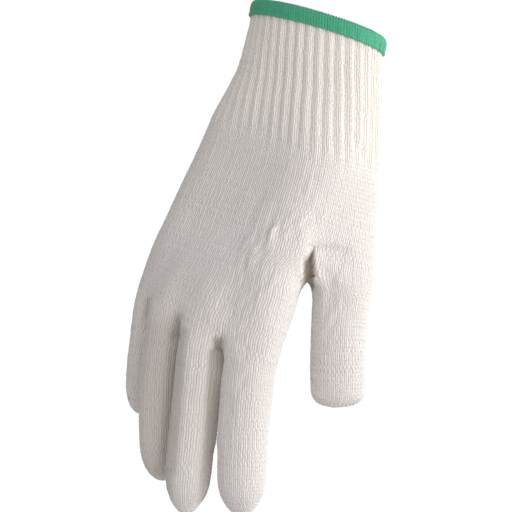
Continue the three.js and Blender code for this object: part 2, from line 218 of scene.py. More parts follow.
# Folds and swellings of the cloth. Each runs between two places in the photo's pixels and stands out by
# height. left and right are how wide it is on either side of its line, seen going down the picture, and
# side is 1 on the side that the camera sees, -1 on the far side and 0 on both.
FOLDS = table(
    "start end height left right side",
    [
        ((305, 236), (302, 272), 1.0, 4.0, 1.8, 1),
        ((320, 249), (342, 251), -1.6, 4.0, 1.8, 1),
        ((303, 300), (288, 345), -1.2, 5.0, 5.0, 0),
        ((208, 300), (213, 312), 1.0, 6.0, 6.0, 1),
        ((262, 300), (262, 318), 0.8, 6.0, 6.0, 1),
        ((170, 288), (168, 300), 0.8, 5.0, 5.0, 1),
        ((208, 356), (203, 462), 0.9, 3.0, 1.2, 1),
        ((219, 372), (216, 440), 0.9, 2.6, 2.6, 0),
        ((262, 196), (254, 208), -0.4, 2.0, 2.0, 1),
        ((276, 208), (270, 222), -0.45, 2.0, 2.0, 1),
        ((238, 236), (228, 250), -0.4, 2.0, 2.0, 1),
        ((162, 296), (159, 318), -0.8, 6.0, 6.0, -1),
        ((353, 137), (372, 172), -0.5, 1.2, 1.2, 1),
        ((246, 352), (258, 350), -0.5, 1.8, 1.8, 1),
        ((190, 352), (200, 350), -0.4, 1.8, 1.8, 1),
        ((330, 318), (350, 316), -0.4, 2.2, 2.2, 1),
    ],
)
FOLD_TAPER = 2  # how fast a fold's ends die out
FOLD_TURN = 0.25  # how far the cloth must be turned to the camera to show a fold in full

# Where the cloth is puckered: each band of small folds runs between two places in the photo's pixels. Its
# folds lie within spread pixels of that line, turned by slant degrees from straight down.
PUCKERS = table(
    "start end spread count slant height",
    [
        ((294, 216), (238, 264), 10, 26, 32, 0.6),
        ((262, 270), (236, 322), 14, 14, 24, 0.42),
        ((330, 256), (334, 338), 10, 14, 6, 0.44),
        ((240, 336), (234, 440), 9, 14, 8, 0.3),
        ((300, 170), (330, 232), 18, 10, 10, 0.22),
        ((196, 340), (190, 440), 6, 8, 6, 0.24),
    ],
)
PUCKER_SEED = 7
PUCKER_DROP = 0.6  # how far down a small fold lies for each pixel that it lies aside
PUCKER_STRAY = 9  # how far its direction strays, in degrees
PUCKER_LENGTHS = (5, 13)  # in pixels
PUCKER_WIDTHS = (0.9, 1.5)
PUCKER_SIZES = (0.5, 1.2)  # its height as a share of its band's
PUCKER_RIDGES = 0.7  # the share of the small folds that stand out, while the others sink in


def puckers():
    """The small folds of the puckered bands, placed by a seeded random draw."""
    draw = np.random.default_rng(PUCKER_SEED)
    folds = []
    for band in PUCKERS:
        (x0, y0), (x1, y1) = band["start"], band["end"]
        for k in range(band["count"]):
            share = (k + draw.uniform(0.1, 0.9)) / band["count"]
            aside = draw.uniform(-1, 1) * band["spread"]
            x = x0 + (x1 - x0) * share + aside
            y = y0 + (y1 - y0) * share + aside * PUCKER_DROP
            turn = math.radians(band["slant"] + draw.normal(0, PUCKER_STRAY))
            length = draw.uniform(*PUCKER_LENGTHS)
            run = (-math.sin(turn) * length / 2, math.cos(turn) * length / 2)
            width = draw.uniform(*PUCKER_WIDTHS)
            size = draw.uniform(*PUCKER_SIZES)
            height = band["height"] * size * (1 if draw.random() < PUCKER_RIDGES else -1)
            ends = {"start": (x - run[0], y - run[1]), "end": (x + run[0], y + run[1])}
            folds.append({**ends, "height": height, "left": width, "right": width, "side": 1})
    return folds


# Hollows where the cloth sinks in between two tubes: the corners of each in the photo's pixels, the parts of
# the glove that it is on, how deep it goes away from the camera, how wide its walls are, how far the cloth
# must be turned to the camera to sink in fully, and how much painted shade darkens the yarn's colour in it.
# The rows with no depth only paint shade: below the web, over the ring finger and between it and the middle
# finger.
HOLLOWS = table(
    "corners on depth wall turn dark",
    [
        ([(302, 262), (314, 248), (315, 278), (304, 284)], PARTS, 6.0, 2.6, 0.25, 1.0),
        ([(303, 270), (315, 268), (315, 288), (303, 298)], PARTS, 0.0, 1.2, 0.25, 1.0),
        ([(302, 278), (312, 276), (302, 305), (296, 305)], PARTS, 0.0, 1.2, 0.25, 0.9),
        ([(212, 338), (225, 336), (225, 352), (213, 354)], PARTS, 2.5, 3.2, 0.25, 0.8),
        ([(174, 313), (184, 313), (182, 338), (171, 342)], PARTS, 2.0, 3.2, 0.25, 0.4),
        ([(146, 298), (152, 298), (150, 316), (143, 322)], PARTS, 1.2, 2.2, 0.25, 0.3),
        ([(208, 350), (224, 350), (212, 504), (197, 504)], ["middle"], 2.6, 3.6, 0.45, 0.33),
        ([(168, 330), (188, 330), (176, 474), (158, 474)], ["ring", "middle"], 1.6, 3.6, 0.45, 0.36),
        ([(168, 326), (188, 326), (172, 514), (153, 514)], ["ring", "middle"], 0.0, 4.0, 0.45, 0.36),
        ([(136, 314), (190, 310), (180, 500), (136, 500)], ["ring"], 0.0, 14.0, 0.45, 0.33),
    ],
)
WALL_OUTSIDE = 0.3  # the share of a hollow's walls that lies outside its corners
# The hollows' painted shade shows only on cloth turned towards the camera, fading in from the first of these
# turns over the second
PAINTED_SHADE_FROM = -0.25  # how far the cloth is turned to the camera where the dark of a hollow begins
PAINTED_SHADE_OVER = 0.3


def smoothstep(x):
    x = np.clip(x, 0.0, 1.0)
    return x * x * (3 - 2 * x)


def seen_at(points):
    """Where points in millimetres lie in the photo's frame, in pixels, and a millimetre's size there."""
    away = points * MM - AIM
    depth = CAMERA_DISTANCE + away @ AWAY
    scale = FRAME * LENS / SENSOR / depth
    return FRAME / 2 + (away @ RIGHT) * scale, FRAME / 2 - (away @ UP) * scale, scale * MM


def from_line(x, y, start, end):
    """How far pixels lie along a line and across it, and the line's length."""
    (x0, y0), (x1, y1) = start, end
    length = math.hypot(x1 - x0, y1 - y0)
    along = ((x - x0) * (x1 - x0) + (y - y0) * (y1 - y0)) / length
    across = ((x - x0) * (y0 - y1) + (y - y0) * (x1 - x0)) / length
    return along, across, length


def folded(points, normals):
    """The points moved onto the folds."""
    x, y, pixels = seen_at(points)
    facing = -(normals @ AWAY)
    lift = np.zeros(len(points))
    for fold in FOLDS + puckers():
        along, across, length = from_line(x, y, fold["start"], fold["end"])
        past = np.maximum(0, np.maximum(-along, along - length)) / pixels
        widths = np.where(across > 0, fold["left"], fold["right"])
        taper = np.exp(-((past / (fold["left"] + fold["right"])) ** 2) * FOLD_TAPER)
        ridge = np.exp(-((across / pixels / widths) ** 2)) * taper
        shown = smoothstep(facing * fold["side"] / FOLD_TURN) if fold["side"] else 1.0
        lift += fold["height"] * ridge * shown
    return points + normals * lift[:, None]


def sunk(points, normals, parts):
    """The points on the camera's side moved back into the hollows, and how much painted shade each hollow
    puts on them.
    """
    x, y, pixels = seen_at(points)
    facing = -(normals @ AWAY)
    depth = np.zeros(len(points))
    dark = np.zeros(len(points))
    seen = smoothstep((facing - PAINTED_SHADE_FROM) / PAINTED_SHADE_OVER)
    for hollow in HOLLOWS:
        corners = hollow["corners"]
        inside = np.full(len(points), np.inf)
        for start, end in zip(corners, corners[1:] + corners[:1]):
            inside = np.minimum(inside, from_line(x, y, start, end)[1] / pixels)
        share = smoothstep((inside + WALL_OUTSIDE * hollow["wall"]) / hollow["wall"])
        share = share * np.isin(parts, [PARTS.index(name) for name in hollow["on"]])
        depth += hollow["depth"] * share * smoothstep(facing / hollow["turn"])
        # the hollow's painted shade
        dark = np.maximum(dark, hollow["dark"] * share * seen)
    return points + AWAY * depth[:, None], dark


class Net:
    """The stitch net: points, four-cornered cells, and the wale and course at each cell's corners."""

    def __init__(self):
        self.points = []
        self.cells = []
        self.stitches = []
        self.parts = []
        self.seams = []  # points where the wales of a digit's sides end against its cap
        self.turns = []  # points where the courses of a cap meet those of the digit's front

    def add(self, points):
        first = len(self.points)
        self.points.extend(np.asarray(points))
        return list(range(first, len(self.points)))

    def cell(self, corners, wale, course, courses, part):
        """A cell one wale wide, from its upper left corner down and round."""
        low, next_wale = course + courses, wale + 1
        self.cells.append(corners)
        self.stitches.append(((wale, course), (wale, low), (next_wale, low), (next_wale, course)))
        self.parts.append(part)

    def join(self, upper, lower, course, part):
        """A round of cells between two rings of as many points."""
        for k in range(len(upper)):
            n = (k + 1) % len(upper)
            self.cell((upper[k], lower[k], lower[n], upper[n]), k, course, COURSES_PER_ROW, part)

    def patch(self, grid, course, part):
        """Cells over a grid of points, one course to a cell."""
        for x in range(len(grid) - 1):
            for y in range(len(grid[0]) - 1):
                corners = (grid[x][y], grid[x][y + 1], grid[x + 1][y + 1], grid[x + 1][y])
                self.cell(corners, x, course + y, 1, part)


# The rings of the digits and the palm
ROOT_INSIDE = 0.8  # how far inside a CAD tube's end its outline is taken
CUFF_INSIDE = 1.0  # the same at the cuff's upper end
DIGIT_HARMONICS = 4  # how many waves of an outline are kept, which rounds off the facets
PALM_HARMONICS = 12
SLIM_LENGTH = 20.0  # the length of a digit's end over which the cloth narrows
CAP_RADIUS = 0.8  # the share of a tip's width at which its rings end and its cap begins
LINE_STEP = 0.5  # the steps in which a digit's line is followed
SETTLE = 0.2  # the share of a digit's length in which its sections turn from its root's plane to its own
TIP_STEPS = 400
PROBE = 40.0  # how far outside a cap the rays start that find it


def digit_line(root_section, digit, at):
    """The section at a distance along a digit's gently curled line."""
    centre = root_section.point(digit["across"] * PALM_WIDTH, digit["through"] * PALM_DEPTH)
    (ulnar, last_ulnar), (back, last_back) = digit["ulnar"], digit["back"]
    way = heading(ulnar, back)
    gone = 0.0
    while gone < at:
        reach = min(LINE_STEP, at - gone)
        share = (gone + reach) / digit["length"]
        way = heading(ulnar + (last_ulnar - ulnar) * share, back + (last_back - back) * share)
        centre = centre + way * reach
        gone += reach
    settle = min(1.0, at / digit["length"] / SETTLE)
    return Section(centre, root_section.down * (1 - settle) + way * settle)


def tip_stops(radius, tip):
    """Distances into a rounded tip at which rings stand a row apart, up to its cap."""
    angles = np.linspace(0, math.pi / 2, TIP_STEPS)
    steps = np.hypot(tip * np.cos(angles), radius * np.sin(angles)) * (angles[1] - angles[0])
    reach = np.cumsum(steps)
    cap_at = reach[np.argmax(np.cos(angles) < CAP_RADIUS)]
    count = max(1, round(cap_at / ROW_LENGTH))
    wanted = cap_at * np.arange(1, count + 1) / count
    return tip * np.sin(np.interp(wanted, reach, angles))


def digit_shares(digit, left, right):
    """The shares round a digit's outline at which its wales stand. left and right are the shares that
    face its neighbours."""
    over, side = digit["over"], digit["side"]
    count = 2 * (over + side)
    half = side / 2 / count
    anchors = [
        (0, left + half),
        (over, right - half),
        (over + side, right + half),
        (2 * over + side, left + 1 - half),
    ]
    return shares_through(anchors, count)


class Tube:
    """One digit: the tree of its node, its root section, and the shares of its wales."""

    def __init__(self, name, node, root_section):
        self.name = name
        self.digit = DIGITS[name]
        self.tree = tree_of(node)
        self.root_section = root_section
        self.count = 2 * (self.digit["over"] + self.digit["side"])
        self.tip = TIP_LENGTH["thumb" if name == "thumb" else "finger"]
        self.root = digit_line(root_section, self.digit, 0.0)
        self.root_outline = self.outline_at(0.0)

    def outline_at(self, at):
        section = digit_line(self.root_section, self.digit, at)
        inside = section.moved(max(0.0, ROOT_INSIDE - at))
        ring = outline(self.tree, inside, DIGIT_HARMONICS) - inside.centre
        end = smoothstep(1 - (self.digit["length"] - at) / SLIM_LENGTH)
        ring = ring * (1 - self.digit["slim"] * end)
        return section.centre + section.down * self.digit["longer"] * end + ring

    def set_shares(self, left_point, right_point):
        """The wales, from the points that the two sides face. A missing one is opposite the other."""
        share = lambda point: self.root.angle_of(point) / (2 * math.pi)
        if left_point is None:
            right = share(right_point)
            left = right - 0.5
        elif right_point is None:
            left = share(left_point)
            right = left + 0.5
        else:
            left, right = share(left_point), share(right_point)
        left = (left + 0.5) % 1.0 - 0.5
        right = right % 1.0
        self.shares = digit_shares(self.digit, left, right)
        self.root_ring = on_outline(self.root_outline, self.shares)


def close_tip(net, tube, ring, course):
    """The cap of a digit: the wales of the back run over the tip into those of the front."""
    over, side, count = tube.digit["over"], tube.digit["side"], tube.count
    grid = [[None] * (side + 1) for _ in range(over + 1)]
    for x in range(over + 1):
        grid[x][0] = ring[x]
        grid[x][side] = ring[(2 * over + side - x) % count]
    for y in range(side + 1):
        grid[over][y] = ring[over + y]
        grid[0][y] = ring[(count - y) % count]
    net.seams += grid[0] + grid[over]
    net.turns += [column[side] for column in grid]
    section = digit_line(tube.root_section, tube.digit, tube.digit["length"])
    slim, longer = 1 - tube.digit["slim"], section.down * tube.digit["longer"]
    at = lambda x, y: np.asarray(net.points[grid[x][y]])
    for x in range(1, over):
        for y in range(1, side):
            s, t = x / over, y / side
            rows = at(0, y) * (1 - s) + at(over, y) * s
            columns = at(x, 0) * (1 - t) + at(x, side) * t
            corners = (at(0, 0) * (1 - s) + at(over, 0) * s) * (1 - t)
            corners = corners + (at(0, side) * (1 - s) + at(over, side) * s) * t
            flat = rows + columns - corners
            aside = flat - section.centre
            aside = (aside - section.down * (aside @ section.down)) / slim
            start = section.centre + aside + section.down * PROBE
            hit = tube.tree.ray_cast(Vector(start), Vector(-section.down), 2 * PROBE)
            place = np.array(hit[0]) - aside * (1 - slim) + longer if hit[0] is not None else flat
            grid[x][y] = net.add([place])[0]
    net.patch(grid, course, tube.name)


def run_digit(net, tube, ring, course):
    """The rings of a digit below the ring that it shares with the palm, and its cap."""
    straight = tube.digit["length"] - tube.tip
    rows = round(straight / ROW_LENGTH)
    radius = np.linalg.norm(tube.root_ring - tube.root.centre, axis=1).mean()
    stops = [straight * r / rows for r in range(1, rows + 1)]
    stops += [straight + x for x in tip_stops(radius, tube.tip)]
    for stop in stops:
        below = net.add(on_outline(tube.outline_at(stop), tube.shares))
        net.join(ring, below, course, tube.name)
        ring = below
        course += COURSES_PER_ROW
    close_tip(net, tube, ring, course)


def run_tube(net, ring, course, part, sections, tree, shares_at, last_ring):
    """The rings of a length of the palm, from a ring that exists to one that is given."""
    rows = len(sections) - 1
    for r in range(1, rows + 1):
        if r < rows:
            points = on_outline(outline(tree, sections[r], PALM_HARMONICS), shares_at(r / rows))
            below = net.add(points)
        else:
            below = last_ring
        net.join(ring, below, course, part)
        ring = below
        course += COURSES_PER_ROW
    return course


def palm_sections(rings, centres, start, end, rows):
    """Sections between two named rings, along the smooth line of the palm."""
    a, b = rings[start], rings[end]
    knots = RING_KNOTS[start], RING_KNOTS[end]
    sections = []
    for r in range(rows + 1):
        share = r / rows
        centre = smooth_line(centres, knots[0] + (knots[1] - knots[0]) * share)
        sections.append(between(a, b, share, centre))
    return sections


def end_outline(tree, section, inwards):
    """The outline at a tube's end, taken a little inside it and moved back."""
    inside = section.moved(inwards)
    return outline(tree, inside, PALM_HARMONICS) - inside.centre + section.centre


def unwrapped(shares):
    """The same shares round a ring, rising steadily from the one that is near 0."""
    shares = np.where(shares > 1.5, shares - 1, shares)
    shares = np.unwrap(shares, period=1.0)
    return shares - 1 if shares[0] > 0.5 else shares


def finger_tubes(nodes, section):
    """The four fingers, each with its sides turned to its neighbours."""
    tubes = {n: Tube(n, nodes[f"{n}_finger"], section) for n in FINGER_NAMES}
    centres = [None] + [tubes[n].root.centre for n in FINGER_NAMES] + [None]
    for name, left, right in zip(FINGER_NAMES, centres, centres[2:]):
        tubes[name].set_shares(left, right)
    return tubes


def fork_ring(upper_ring, thumb, web_start, lower_end):
    """The ring that the lower palm ends in, the line of the web, and the shares of the ring's wales.

    The ring has the wales of the palm up to the web, those round the outside of the thumb, and then those
    of the palm again."""
    side = thumb.digit["side"]
    outer = 2 * thumb.digit["over"] + side
    facing = [thumb.root_ring[(thumb.count - j) % thumb.count] for j in range(side + 1)]
    web_line = [(upper_ring[web_start + j] + facing[j]) / 2 for j in range(side + 1)]
    points = [*upper_ring[:web_start], web_line[0], *thumb.root_ring[1:outer], web_line[side]]
    points = np.array(points + [*upper_ring[web_start + side + 1 :]])
    anchors = [(0, 0.0)]
    for column in (web_start, web_start + outer // 2, web_start + outer):
        anchors.append((column, share_near(lower_end, points[column])))
    shares = shares_through(anchors, GLOVE_WALES)
    return (points + on_outline(lower_end, shares)) / 2, web_line, shares


def knit_net(nodes):
    """The whole stitch net of the glove, from the edge of the cuff to the tips, and its marked points."""
    centres = palm_centres()
    rings = {n: Section(centres[RING_KNOTS[n]], heading(*f)) for n, f in RING_FACES.items()}
    trees = {n: tree_of(nodes[n]) for n in ("rib_cuff", "lower_palm", "upper_palm")}
    net = Net()
    tubes = finger_tubes(nodes, rings["knuckles"])
    thumb = Tube("thumb", nodes["thumb"], rings["fork"])

    # The ring of the upper palm at the fork, and where the thumb's web leaves it
    upper_start = end_outline(trees["upper_palm"], rings["fork"], ROOT_INSIDE)
    upper_shares = np.arange(PALM_WALES) / PALM_WALES
    upper_ring = on_outline(upper_start, upper_shares)
    web = int(np.argmin(np.linalg.norm(upper_ring - thumb.root.centre, axis=1)))
    thumb.set_shares(upper_ring[web], None)
    web_start = web - thumb.digit["side"] // 2
    web_end = web_start + 2 * thumb.digit["over"] + thumb.digit["side"]

    # The cuff
    cuff = palm_sections(rings, centres, "wrist", "heel", CUFF_ROWS)
    cuff[0] = cuff[0].moved(CUFF_START)
    even = np.arange(GLOVE_WALES) / GLOVE_WALES
    twisted = even + CUFF_TWIST
    top = net.add(on_outline(end_outline(trees["rib_cuff"], cuff[0], CUFF_INSIDE), even))
    heel_outline = end_outline(trees["lower_palm"], rings["heel"], ROOT_INSIDE)
    heel = net.add(on_outline(heel_outline, twisted))
    shares = lambda s: even + CUFF_TWIST * s**2
    course = run_tube(net, top, 0, "cuff", cuff, trees["rib_cuff"], shares, heel)

    # The palm down to the fork, and the thumb
    lower_end = end_outline(trees["lower_palm"], rings["fork"], -ROOT_INSIDE)
    fork_points, web_line, fork_shares = fork_ring(upper_ring, thumb, web_start, lower_end)
    fork = net.add(fork_points)
    lower = palm_sections(rings, centres, "heel", "fork", round(LENGTHS[2] / ROW_LENGTH))
    shares = lambda s: twisted + (fork_shares - twisted) * smoothstep(s)
    course = run_tube(net, heel, course, "palm", lower, trees["lower_palm"], shares, fork)
    web_ids = [fork[web_start]] + net.add(web_line[1:-1]) + [fork[web_end]]
    run_digit(net, thumb, fork[web_start : web_end + 1] + web_ids[-2:0:-1], course)

    # The palm down to the knuckles, and the fingers
    knuckle_points, crotches, starts = knuckle_ring(tubes)
    upper_end = end_outline(trees["upper_palm"], rings["knuckles"], -ROOT_INSIDE)
    anchors = [(c, share_near(upper_end, knuckle_points[c])) for c in starts]
    knuckle_shares = unwrapped(shares_through(anchors, PALM_WALES))
    hull_points = on_outline(upper_end, knuckle_shares)
    knuckles = net.add(knuckle_points * DIGITS_AT_KNUCKLES + hull_points * (1 - DIGITS_AT_KNUCKLES))
    upper = palm_sections(rings, centres, "fork", "knuckles", UPPER_PALM_ROWS)
    shares = lambda s: upper_shares + (knuckle_shares - upper_shares) * smoothstep(s)
    palm_ids = fork[:web_start] + web_ids + fork[web_end + 1 :]
    course = run_tube(net, palm_ids, course, "palm", upper, trees["upper_palm"], shares, knuckles)
    lines = run_fingers(net, tubes, knuckles, crotches, course)
    ends = [knuckles[c[side]] for c in crotches for side in ("back", "front")]
    crotch_ids = [i for line in lines for i in line] + ends
    return net, {"top": top, "heel": heel, "knuckles": knuckles, "web": web_ids, "crotches": crotch_ids}


def knuckle_ring(tubes):
    """The ring that the palm shares with the fingers, the crotches, and the columns that anchor it."""
    points = [None] * PALM_WALES

    def put(column, place):
        """A point of the ring, which lies halfway between two fingers where both have it."""
        at = column % PALM_WALES
        points[at] = place if points[at] is None else (points[at] + place) / 2

    little, index = tubes["little"], tubes["index"]
    half = little.digit["side"] // 2
    for column in range(-half, half):
        put(column, little.root_ring[(column - half) % little.count])
    back, front = half, PALM_WALES - half
    starts, crotches = [0], []
    for name, neighbour in zip(FINGER_NAMES, FINGER_NAMES[1:]):
        tube, other = tubes[name], tubes[neighbour]
        over, side, ring = tube.digit["over"], tube.digit["side"], tube.root_ring
        for k in range(over + 1):
            put(back + k, ring[k])
            put(front - k, ring[2 * over + side - k])
        back += over
        front -= over
        starts.append(back)
        line = [(ring[over + j] + other.root_ring[other.count - j]) / 2 for j in range(1, side)]
        crotches.append({"back": back, "front": front, "line": line})
    for k in range(front - back + 1):
        put(back + k, index.root_ring[k])
    starts.append((back + front) // 2)
    starts += [crotch["front"] for crotch in reversed(crotches)]
    return np.array(points), crotches, starts


def run_fingers(net, tubes, knuckles, crotches, course):
    """Each finger, from the part of the knuckle ring and the crotch lines that make its first ring."""
    lines = [net.add(c["line"]) for c in crotches]

    def run(start, end):
        return [knuckles[k % PALM_WALES] for k in range(start, end + 1)]

    for i, name in enumerate(FINGER_NAMES):
        tube = tubes[name]
        if name == "little":
            start, half_round = crotches[0]["front"], tube.digit["over"] + tube.digit["side"]
            outer = run(start, start + tube.digit["over"] + half_round)
            ring = outer[half_round:] + lines[0] + outer[:half_round]
        elif name == "index":
            ring = run(crotches[2]["back"], crotches[2]["front"]) + lines[2][::-1]
        else:
            left, right = crotches[i - 1], crotches[i]
            ring = run(left["back"], right["back"]) + lines[i]
            ring += run(right["front"], left["front"]) + lines[i - 1][::-1]
        run_digit(net, tube, ring, course)
    return lines


WEB_RISE = 3.4  # how much higher the web stands than the mean of the two tubes there
WEB_RISE_REACH = 7.0  # how far from the web's line that dies out


def risen(points, web):
    """The points with the web between the thumb and the palm drawn up."""
    near = nearness(points, points[web], WEB_RISE_REACH)
    return points + UP * (WEB_RISE * near)[:, None]


def placed(name, data):
    """A new object in the scene."""
    thing = bpy.data.objects.new(name, data)
    bpy.context.scene.collection.objects.link(thing)
    return thing


def new_mesh(name, points, faces, stitches):
    """A mesh that has the wale and course of each corner as its UVs."""
    mesh = bpy.data.meshes.new(name)
    mesh.from_pydata(points.tolist(), [], faces)
    layer = mesh.uv_layers.new(name="stitch")
    layer.data.foreach_set("uv", np.concatenate([np.asarray(s, float).ravel() for s in stitches]))
    mesh.update()
    return mesh


# How much the joins of the tubes are smoothed out, and how far from them
SMOOTHING_ROUNDS = 14
SMOOTHING = 0.5
WEB_REACH = 6.0
CROTCH_REACH = 6.5
KNUCKLE_REACH = 9.0
KNUCKLE_SHARE = 0.7
DIGITS_AT_KNUCKLES = 0.65  # how far the knuckles' ring follows the digits, and otherwise the palm's end

# The facets of the tubes are smoothed out by steps out and in, which leave the size as it is
FACET_ROUNDS = 4
FACET_STEPS = (0.5, -0.53)

# The relief of the knit
CLOTH = 1.8  # its thickness
STITCH_HEIGHT = 0.4
STITCH_MIDDLE = 0.4  # the share of a stitch's height at which the cloth's own surface lies
LEG = (0.72, 0.28)  # the height of a stitch's leg, and what its crest adds
FILLING = (0.35, 0.15)  # the same between the legs
V_DEPTH = 0.7  # how far the legs of a V run down from its sides to its middle, in courses
UNEVEN = 0.22  # how much the stitches differ in height, as a share
SLIDE_NOISE = 0.1  # how unevenly they lie along their wale, in courses
COURSE_WANDER = 0.09  # how far whole courses and single stitches stray along their course, in wales
STITCH_WANDER = 0.06
STREAK_HEIGHT = 0.16  # how far a wale stands out or lies back as a whole
STREAK_COURSES = 9.0  # the courses in which that changes
SEAM_REACH = 2.3  # how far from the seams of a cap the relief is calmed, and its slide from the turns
TURN_REACH = 2.0
CROTCH_CALM = 0.6  # the share of the relief that is left out at the crotches
CROTCH_CALM_REACH = 4.0
SEEDS = {"height": 1, "thread": 3, "streak": 5, "slide": 7, "course": 9, "stitch": 11}
NOISE_RATES = (12.9898, 78.233, 37.719)  # how fast the noise changes with the wale, course and seed
NOISE_SIZE = 43758.5453
ONE_WALE = 3.0  # the wale whose noise all the wales share where a course moves as a whole

# The ribs of the cuff, and the courses between which they rise from its edge and fade into the plain knit
RIBS = 38
RIB_HEIGHT = 1.4
RIB_FLATNESS = 0.2  # how much flatter their crests are than a plain wave
RIBS_START = 1.5
RIBS_RISE = 2.0
RIBS_FULL = 23.0
RIBS_GONE = 31.5
LOW_RIBS = 0.5  # the share of their height that the ribs lack towards the little finger
LOW_RIBS_AT = 15.0  # the wale where they are lowest
LOW_RIBS_REACH = 8.0


def sides_of(faces):
    """The two points of each side of four-cornered faces, face by face in their own direction."""
    return np.concatenate([faces[:, [i, (i + 1) % 4]] for i in range(4)])


def edges_of(cells):
    return np.unique(np.sort(sides_of(np.asarray(cells)), axis=1), axis=0)


def mean_of_neighbours(points, edges):
    total = np.zeros_like(points)
    count = np.zeros(len(points))
    for a, b in ((0, 1), (1, 0)):
        np.add.at(total, edges[:, a], points[edges[:, b]])
        np.add.at(count, edges[:, a], 1)
    return total / count[:, None]


def nearness(points, marks, reach):
    """1 at the marked points, fading out over reach."""
    distances = np.full(len(points), np.inf)
    for mark in marks:
        distances = np.minimum(distances, np.linalg.norm(points - mark, axis=1))
    return np.exp(-((distances / reach) ** 2))


def smoothed(points, cells, marks, pinned):
    """The net with its facets and the joins of its tubes smoothed out, most where the tubes part."""
    edges = edges_of(cells)
    web = nearness(points, points[marks["web"]], WEB_REACH)
    crotch = nearness(points, points[marks["crotches"]], CROTCH_REACH)
    knuckles = KNUCKLE_SHARE * nearness(points, points[marks["knuckles"]], KNUCKLE_REACH)
    free = np.ones(len(points))
    free[pinned] = 0
    weight = free * np.maximum(np.maximum(web, crotch), knuckles)
    steps = [SMOOTHING * weight] * SMOOTHING_ROUNDS
    steps += [size * free for _ in range(FACET_ROUNDS) for size in FACET_STEPS]
    for step in steps:
        points = points + step[:, None] * (mean_of_neighbours(points, edges) - points)
    return points


def read(items, key, width=1, kind=float):
    values = np.empty(len(items) * width, kind)
    items.foreach_get(key, values)
    return values


def corner_arrays(mesh):
    """A mesh of four-cornered faces as arrays: points, faces, the stitch at each corner, material index."""
    points = read(mesh.vertices, "co", 3).reshape(-1, 3)
    faces = read(mesh.loops, "vertex_index", 1, int).reshape(-1, 4)
    stitches = read(mesh.uv_layers["stitch"].data, "uv", 2).reshape(-1, 4, 2)
    return points, faces, stitches, read(mesh.polygons, "material_index", 1, int)


def divided(net, points):
    """The net divided into smooth smaller cells: points in millimetres, faces, stitches and parts."""
    mesh = new_mesh("net", points, net.cells, net.stitches)
    kinds = np.array([PARTS.index(part) for part in net.parts])
    for _ in PARTS:
        mesh.materials.append(None)
    mesh.polygons.foreach_set("material_index", kinds)
    holder = placed("net", mesh)
    division = holder.modifiers.new("division", "SUBSURF")
    division.levels = DIVISIONS
    division.uv_smooth = "NONE"
    graph = bpy.context.evaluated_depsgraph_get()
    arrays = corner_arrays(holder.evaluated_get(graph).to_mesh())
    bpy.data.objects.remove(holder)
    bpy.data.meshes.remove(mesh)
    return arrays


def point_normals(points, faces):
    a, b, c, d = (points[faces[:, i]] for i in range(4))
    across = np.cross(c - a, d - b)
    normals = np.zeros_like(points)
    for i in range(4):
        np.add.at(normals, faces[:, i], across)
    return normals / np.linalg.norm(normals, axis=1)[:, None]


def point_ways(points, faces, stitches, axis):
    """How far and which way each point's surroundings run for one wale (0) or one course (1)."""
    place = points[faces]
    place = place - place.mean(axis=1, keepdims=True)
    along = stitches[:, :, axis]
    along = along - along.mean(axis=1, keepdims=True)
    way = (place * along[:, :, None]).sum(axis=1) / (along**2).sum(axis=1)[:, None]
    total = np.zeros_like(points)
    count = np.zeros(len(points))
    for i in range(4):
        np.add.at(total, faces[:, i], way)
        np.add.at(count, faces[:, i], 1)
    return total / count[:, None]


def stitch_of_points(count, faces, stitches):
    """One wale and course for each point, from the first face that has it."""
    result = np.zeros((count, 2))
    result[faces[::-1].ravel()] = stitches[::-1].reshape(-1, 2)
    return result


def parts_of_points(count, faces, kinds):
    result = np.zeros(count, int)
    result[faces.ravel()] = np.repeat(kinds, 4)
    return result


def stitch_noise(wale, course, seed):
    """A steady random number from -1 to 1 for each stitch."""
    by_wale, by_course, by_seed = NOISE_RATES
    turns = np.floor(wale) * by_wale + np.floor(course) * by_course + SEEDS[seed] * by_seed
    mixed = np.sin(turns) * NOISE_SIZE
    return (mixed - np.floor(mixed)) * 2 - 1


def stitch_height(wale, course):
    """The height of the V-shaped loops over a stitch, from 0 to 1."""
    share = wale - np.floor(wale)
    middle = 1 - np.abs(2 * share - 1)
    leg = 1 - np.abs(2 * middle - 1)
    crest = 0.5 + 0.5 * np.cos(2 * math.pi * course)
    return leg * (LEG[0] + LEG[1] * crest) + (1 - leg) * middle * (FILLING[0] + FILLING[1] * crest)


def streak(wale, course):
    """How far a wale stands out along its length, from -1 to 1, changing slowly and apart for each."""
    at = course / STREAK_COURSES
    low = np.floor(at)
    share = smoothstep(at - low)
    return stitch_noise(wale, low, "streak") * (1 - share) + stitch_noise(wale, low + 1, "streak") * share


def knitted(points, faces, stitches, calm, still):
    """The points moved onto the relief of the knit. calm is the share of it to leave out at each point, and
    still the share of its slide along the courses."""
    normals = point_normals(points, faces)
    along = point_ways(points, faces, stitches, 0)
    down = point_ways(points, faces, stitches, 1)
    wale, course = stitch_of_points(len(points), faces, stitches).T
    aside = np.abs(2 * (wale - np.floor(wale)) - 1)
    uneven = 1 + UNEVEN * stitch_noise(wale, course + 0.5, "height")
    lift = STITCH_HEIGHT * (stitch_height(wale, course) * uneven - STITCH_MIDDLE)
    lift = lift + STREAK_HEIGHT * streak(wale, course) * (1 - aside)
    slide = V_DEPTH * (0.5 - aside) + SLIDE_NOISE * stitch_noise(wale, course + 0.5, "slide")
    slide = slide * (1 - still)
    wander = COURSE_WANDER * stitch_noise(ONE_WALE, course, "course")
    wander = wander + STITCH_WANDER * stitch_noise(wale, course, "stitch")
    keep = (1 - calm)[:, None]
    return points + keep * (normals * lift[:, None] + down * slide[:, None] + along * wander[:, None])


def rib_share(course):
    """How much of the ribs' height stands out at a course of the cuff."""
    fading = smoothstep((course - RIBS_FULL) / (RIBS_GONE - RIBS_FULL))
    return smoothstep((course - RIBS_START) / RIBS_RISE) * (1 - fading)


